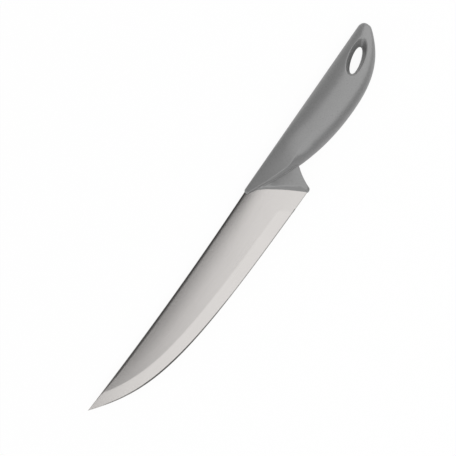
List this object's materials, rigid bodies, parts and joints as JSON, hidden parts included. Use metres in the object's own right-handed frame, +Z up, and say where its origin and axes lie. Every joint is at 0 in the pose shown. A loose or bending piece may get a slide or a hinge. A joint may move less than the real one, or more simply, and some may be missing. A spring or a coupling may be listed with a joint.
{
  "type": "slicing knife",
  "caption": "Slicing knife with a long flat steel blade, curved up to its tip, and a thick grey moulded handle with a finger guard and a slanted oval hanging hole.",
  "frame": {"origin": "under the middle of the knife's box, on the surface that the knife lies on", "axes": "+X from the blade's tip to the butt, along the handle's straight spine; +Y from the cutting edge to the spine; +Z up, square to the blade's flat sides"},
  "size_m": [0.3352, 0.0398, 0.0169],
  "materials": {
    "blade_steel": "satin ground, finely brushed along the blade",
    "core_plastic": "plain moulded, hidden",
    "handle_plastic": "satin, finely textured"
  },
  "bodies": {
    "root": {"blade": "blade_steel", "handle_core": "core_plastic", "handle": "handle_plastic"}
  },
  "joints": []
}
